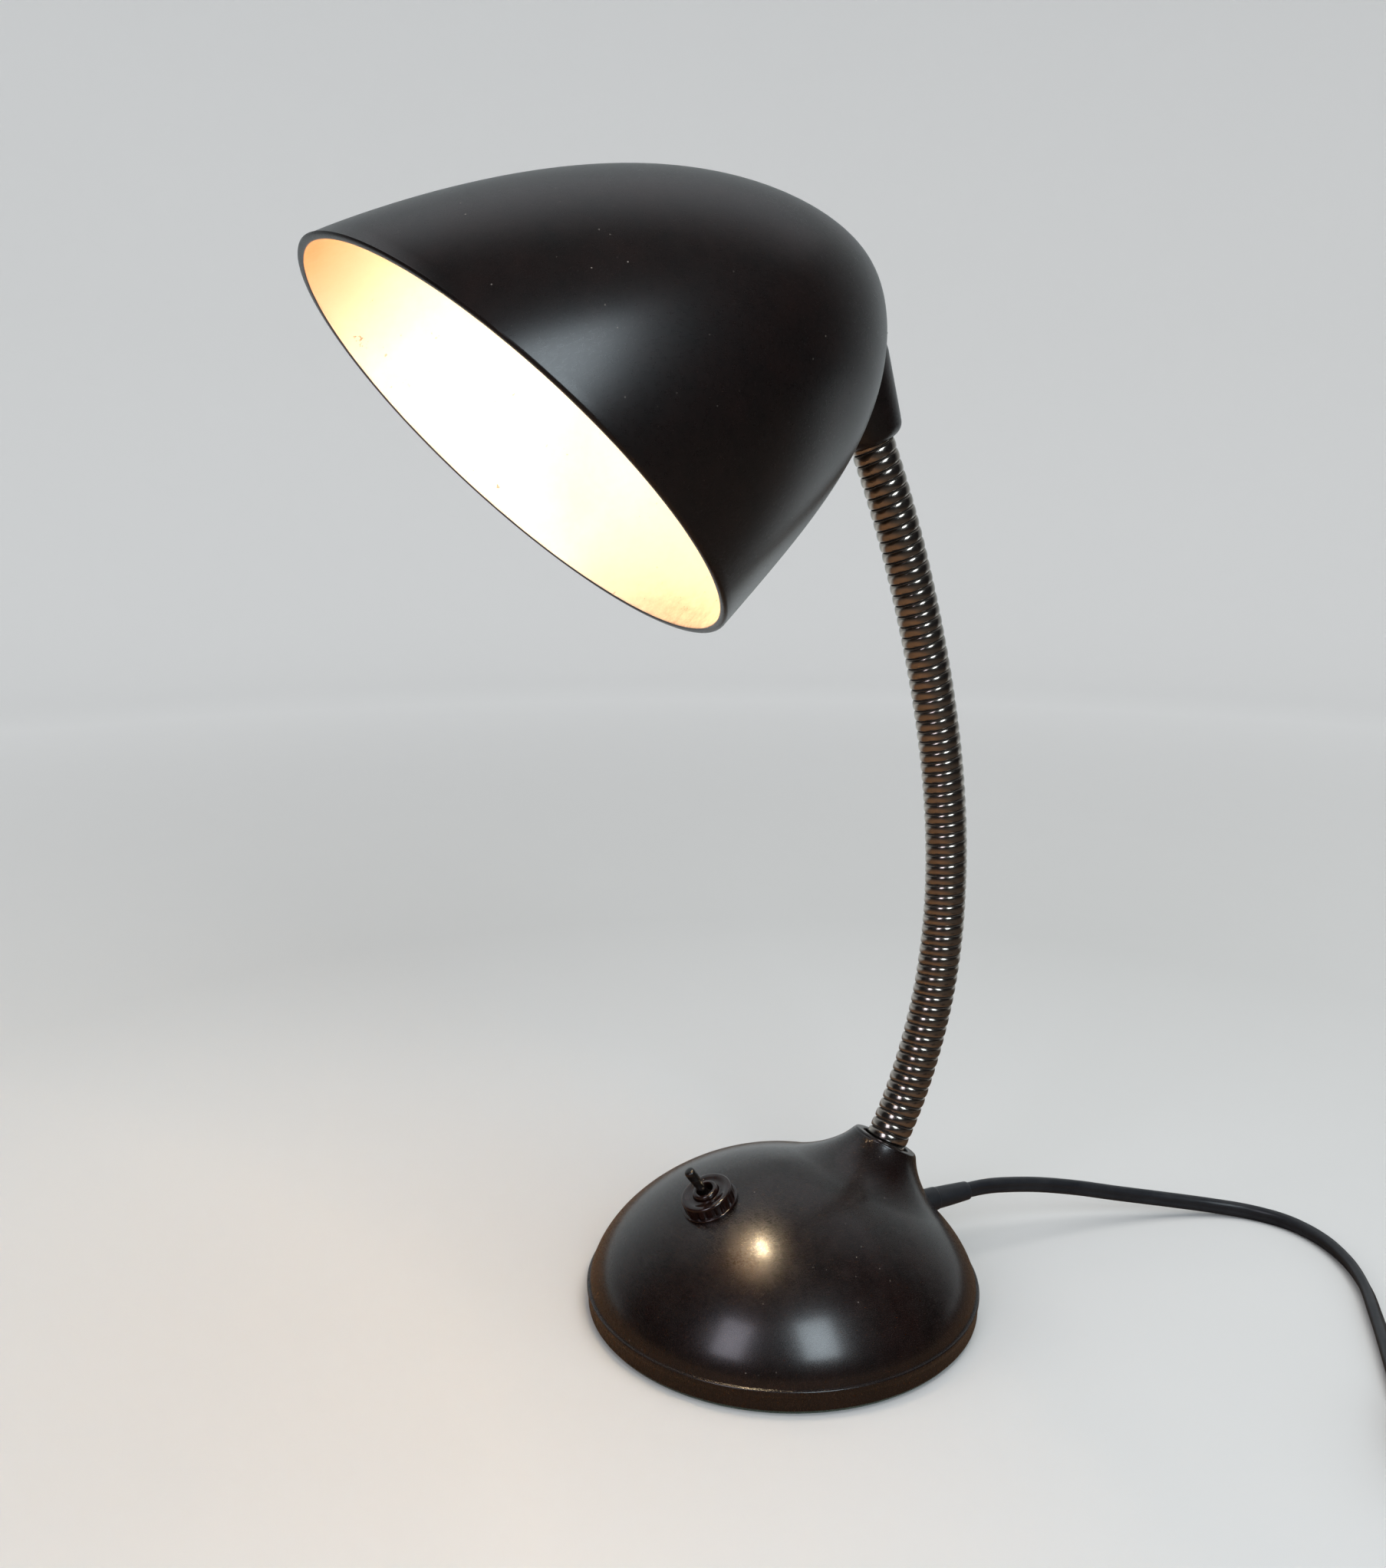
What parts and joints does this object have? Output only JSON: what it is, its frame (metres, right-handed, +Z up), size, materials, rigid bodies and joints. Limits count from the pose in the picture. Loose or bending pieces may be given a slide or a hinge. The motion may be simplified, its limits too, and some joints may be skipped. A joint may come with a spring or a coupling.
{
  "type": "gooseneck desk lamp",
  "caption": "Desk lamp with a helmet-shaped moulded shade on a ribbed gooseneck, a domed weighted base with a lever switch, and a mains lead.",
  "frame": {"origin": "centre of the base's underside, on the table", "axes": "+Z up; -Y to the front, where the shade leans and the switch sits; +Y to the rear, where the neck and the lead leave; +X to the left of someone facing the lamp from the front"},
  "size_m": [0.4205, 0.3841, 0.404],
  "materials": {
    "bakelite": "polished phenolic moulding, dark brown-black with faint red-brown mottling; cream paint inside the shade",
    "zinc_steel": "zinc-plated steel",
    "felt": "pressed green felt",
    "cast_iron": "rough casting",
    "brass": "turned brass, dull",
    "holder_moulding": "dark phenolic moulding",
    "bulb_cap": "spun cap",
    "bulb_glass": "frosted glass, lit",
    "ring_nut": "reddish-brown polished moulding with a knurled band",
    "dolly": "near-black moulding",
    "ceramic": "unglazed cream body",
    "cord_sheath": "black two-core sheath, slightly glossy",
    "plug_rubber": "moulded black plug",
    "pin_metal": "nickel-plated pins",
    "hose_steel": "wound steel strip, darkened, slightly bronze"
  },
  "bodies": {
    "base": {"base_shell": "bakelite", "bottom_plate": "zinc_steel", "felt_pad": "felt", "ballast": "cast_iron", "plate_screws": "zinc_steel", "neck_foot_ferrule": "brass", "neck_foot_nut": "brass", "neck_hose_foot": "hose_steel", "switch_body": "holder_moulding", "switch_bush": "brass", "switch_ring_nut": "ring_nut", "switch_terminals": "brass", "terminal_block": "ceramic", "terminal_screws": "zinc_steel", "cord_relief": "cord_sheath", "cord_clamp": "zinc_steel", "cord_inner": "cord_sheath", "cord_run": "cord_sheath", "cord_coil": "cord_sheath", "cord_tail": "cord_sheath", "plug_body": "plug_rubber", "plug_pins": "pin_metal"},
    "neck_1": {"neck_hose_1": "hose_steel"},
    "neck_2": {"neck_hose_2": "hose_steel"},
    "neck_3": {"neck_hose_3": "hose_steel"},
    "neck_4": {"neck_hose_4": "hose_steel"},
    "neck_5": {"neck_hose_5": "hose_steel"},
    "neck_6": {"neck_hose_6": "hose_steel"},
    "neck_7": {"neck_hose_7": "hose_steel"},
    "neck_8": {"neck_hose_8": "hose_steel"},
    "neck_9": {"neck_hose_9": "hose_steel"},
    "neck_10": {"neck_hose_10": "hose_steel"},
    "shade": {"neck_hose_tip": "hose_steel", "neck_tip_ferrule": "brass", "shade": "bakelite", "shade_grub_screw": "zinc_steel", "lamp_holder": "holder_moulding", "holder_thread": "brass", "holder_contact": "brass", "holder_screws": "zinc_steel", "bulb_cap": "bulb_cap", "bulb_glass": "bulb_glass"},
    "switch_lever": {"switch_dolly": "dolly"}
  },
  "joints": [
    {"name": "bend_1", "type": "hinge", "parent": "base", "child": "neck_1", "pos_m": [0, 0.05192, 0.06602], "axis": [1, 0, 0], "range_deg": [-8.5, 8.5]},
    {"name": "side_2", "type": "hinge", "parent": "neck_1", "child": "neck_2", "pos_m": [0, 0.06054, 0.0897], "axis": [0, 0.9563, -0.2924], "range_deg": [-9, 9]},
    {"name": "bend_3", "type": "hinge", "parent": "neck_2", "child": "neck_3", "pos_m": [0, 0.06663, 0.11415], "axis": [1, 0, 0], "range_deg": [-10, 10]},
    {"name": "side_4", "type": "hinge", "parent": "neck_3", "child": "neck_4", "pos_m": [0, 0.0697, 0.13916], "axis": [0, 0.9976, -0.0698], "range_deg": [-9, 9]},
    {"name": "bend_5", "type": "hinge", "parent": "neck_4", "child": "neck_5", "pos_m": [0, 0.07014, 0.16436], "axis": [1, 0, 0], "range_deg": [-10, 10]},
    {"name": "side_6", "type": "hinge", "parent": "neck_5", "child": "neck_6", "pos_m": [0, 0.06839, 0.1895], "axis": [0, 0.9941, 0.1089], "range_deg": [-9, 9]},
    {"name": "bend_7", "type": "hinge", "parent": "neck_6", "child": "neck_7", "pos_m": [0, 0.06466, 0.21442], "axis": [1, 0, 0], "range_deg": [-12, 12]},
    {"name": "side_8", "type": "hinge", "parent": "neck_7", "child": "neck_8", "pos_m": [0, 0.05942, 0.23907], "axis": [0, 0.9724, 0.2334], "range_deg": [-9, 9]},
    {"name": "bend_9", "type": "hinge", "parent": "neck_8", "child": "neck_9", "pos_m": [0, 0.0529, 0.26341], "axis": [1, 0, 0], "range_deg": [-12, 12]},
    {"name": "side_10", "type": "hinge", "parent": "neck_9", "child": "neck_10", "pos_m": [0, 0.04532, 0.28744], "axis": [0, 0.9455, 0.3256], "range_deg": [-9, 9]},
    {"name": "bend_11", "type": "hinge", "parent": "neck_10", "child": "shade", "pos_m": [0, 0.0365, 0.31105], "axis": [1, 0, 0], "range_deg": [-12, 12]},
    {"name": "switch_lever", "type": "hinge", "parent": "base", "child": "switch_lever", "pos_m": [0.00414, -0.03374, 0.05091], "axis": [0.9925, 0.1219, 0], "range_deg": [-20, 0]}
  ]
}
